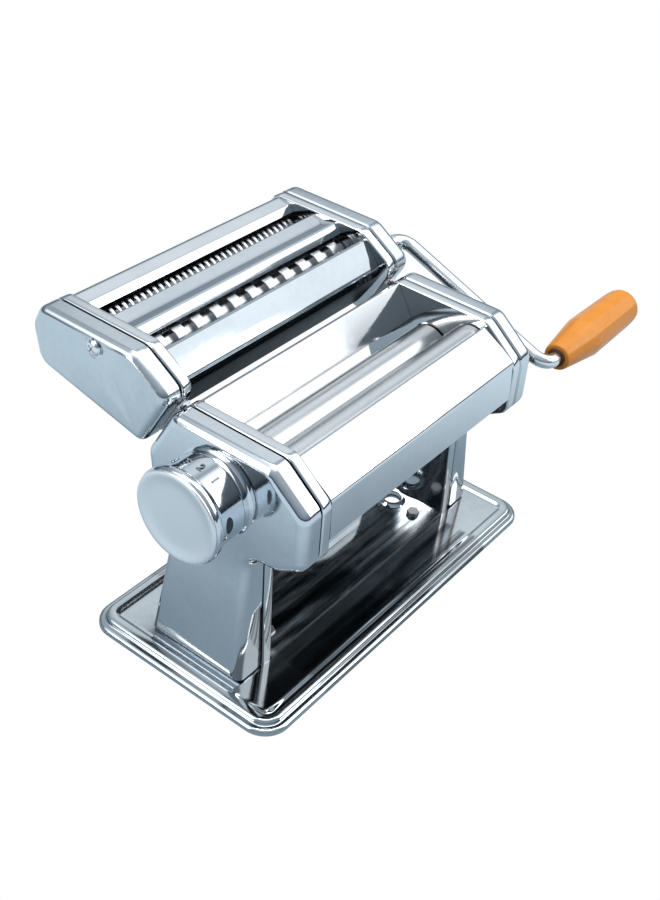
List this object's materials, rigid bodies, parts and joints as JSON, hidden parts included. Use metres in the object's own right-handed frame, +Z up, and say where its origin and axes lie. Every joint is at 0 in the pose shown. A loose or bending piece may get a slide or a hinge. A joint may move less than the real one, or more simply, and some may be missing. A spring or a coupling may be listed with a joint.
{
  "type": "pasta roller machine",
  "caption": "Hand-cranked pasta machine with two smooth rolls, a numbered thickness knob and a lift-off cutter head with two pairs of cutter rolls.",
  "frame": {"origin": "centre of the base, on the surface that the feet stand on", "axes": "+X along the rolls towards the crank, +Y from the front to the cutter head, +Z up"},
  "size_m": [0.3268, 0.1792, 0.159],
  "materials": {
    "polished_steel": "mirror polished sheet with fine wipe marks",
    "foot_rubber": "matt moulded rubber",
    "plain_steel": "bright turned and sheared steel",
    "screw_chrome": "plated cross-head screw",
    "spring_steel": "bright drawn wire",
    "roll_aluminium": "fine turned and anodised",
    "gear_steel": "milled, lightly greased",
    "block_brass": "machined",
    "white_nylon": "moulded, slightly waxy",
    "orange_plastic": "glossy lacquered grip",
    "brown_plastic": "dull moulded bush"
  },
  "bodies": {
    "machine": {"base_plate": "polished_steel", "base_feet": "foot_rubber", "bottom_plate": "polished_steel", "base_screws": "plain_steel", "side_frame_left": "polished_steel", "side_frame_right": "polished_steel", "cover_left": "polished_steel", "cover_right": "polished_steel", "front_panel": "polished_steel", "rear_panel": "polished_steel", "tie_rods": "plain_steel", "tie_rod_nuts": "plain_steel", "scraper_front": "plain_steel", "scraper_rear": "plain_steel", "roll_bushes": "white_nylon", "selector_bush": "white_nylon", "knob_collar": "polished_steel", "head_rails": "plain_steel"},
    "drive": {"drive_roll": "roll_aluminium", "drive_journals": "plain_steel", "drive_gear": "gear_steel"},
    "selector": {"selector_shaft": "plain_steel", "selector_cam": "plain_steel", "knob_screw": "plain_steel", "knob_spring": "spring_steel"},
    "knob": {"knob_shell": "polished_steel", "knob_cap": "polished_steel"},
    "carriage": {"bearing_block_left": "block_brass", "bearing_block_right": "block_brass", "carriage_bar": "plain_steel"},
    "adjust": {"adjust_roll": "roll_aluminium", "adjust_journals": "plain_steel", "adjust_gear": "gear_steel"},
    "head": {"head_plate_left": "polished_steel", "head_plate_right": "polished_steel", "head_cap_left": "polished_steel", "head_cap_right": "polished_steel", "head_cap_screws": "screw_chrome", "head_rear_panel": "polished_steel", "head_divider": "polished_steel", "head_front_panel": "polished_steel", "head_tie_rods": "plain_steel", "head_bushes": "white_nylon", "wide_combs": "white_nylon", "fine_combs": "white_nylon", "head_hooks": "plain_steel"},
    "wide_front": {"wide_cutter_front": "roll_aluminium", "wide_gear_front": "gear_steel"},
    "wide_rear": {"wide_cutter_rear": "roll_aluminium", "wide_gear_rear": "gear_steel"},
    "fine_front": {"fine_cutter_front": "roll_aluminium", "fine_gear_front": "gear_steel"},
    "fine_rear": {"fine_cutter_rear": "roll_aluminium", "fine_gear_rear": "gear_steel"},
    "crank": {"crank_rod": "polished_steel", "crank_washer": "plain_steel"},
    "grip": {"grip_shell": "orange_plastic", "grip_bush": "brown_plastic"}
  },
  "joints": [
    {"name": "drive_turn", "type": "hinge", "parent": "machine", "child": "drive", "pos_m": [0, -0.0281, 0.12153], "axis": [1, 0, 0], "continuous": true},
    {"name": "selector_turn", "type": "hinge", "parent": "machine", "child": "selector", "pos_m": [0, -0.004, 0.111], "axis": [1, 0, 0], "range_deg": [0, 180]},
    {"name": "knob_pull", "type": "slide", "parent": "selector", "child": "knob", "axis": [-1, 0, 0], "range_m": [0, 0.004], "stiffness_N_per_m": 800, "springref_m": -0.004, "deforming": ["knob_spring"]},
    {"name": "carriage_shift", "type": "slide", "parent": "machine", "child": "carriage", "axis": [0, -0.9164, 0.4003], "range_m": [0, 0.002]},
    {"name": "adjust_turn", "type": "hinge", "parent": "carriage", "child": "adjust", "pos_m": [0, -0.00308, 0.1106], "axis": [1, 0, 0], "continuous": true},
    {"name": "head_lift", "type": "slide", "parent": "machine", "child": "head", "axis": [0, -0.4856, 0.8742], "range_m": [0, 0.036]},
    {"name": "wide_turn", "type": "hinge", "parent": "head", "child": "wide_front", "pos_m": [0, 0.0468, 0.1415], "axis": [1, 0, 0], "continuous": true},
    {"name": "wide_rear_turn", "type": "hinge", "parent": "head", "child": "wide_rear", "pos_m": [0, 0.0622, 0.1415], "axis": [1, 0, 0], "continuous": true},
    {"name": "fine_turn", "type": "hinge", "parent": "head", "child": "fine_front", "pos_m": [0, 0.0808, 0.1415], "axis": [1, 0, 0], "continuous": true},
    {"name": "fine_rear_turn", "type": "hinge", "parent": "head", "child": "fine_rear", "pos_m": [0, 0.0962, 0.1415], "axis": [1, 0, 0], "continuous": true},
    {"name": "crank_pull", "type": "slide", "parent": "wide_front", "child": "crank", "axis": [1, 0, 0], "range_m": [0, 0.016]},
    {"name": "grip_spin", "type": "hinge", "parent": "crank", "child": "grip", "pos_m": [0, -0.05403, 0.1028], "axis": [1, 0, 0], "continuous": true}
  ],
  "couplings": [
    {"joint": "selector_turn", "follows": "carriage_shift", "rad_per_m": 1570.8},
    {"joint": "adjust_turn", "follows": "drive_turn", "ratio": -1},
    {"joint": "wide_rear_turn", "follows": "wide_turn", "ratio": -1},
    {"joint": "fine_rear_turn", "follows": "fine_turn", "ratio": -1}
  ]
}
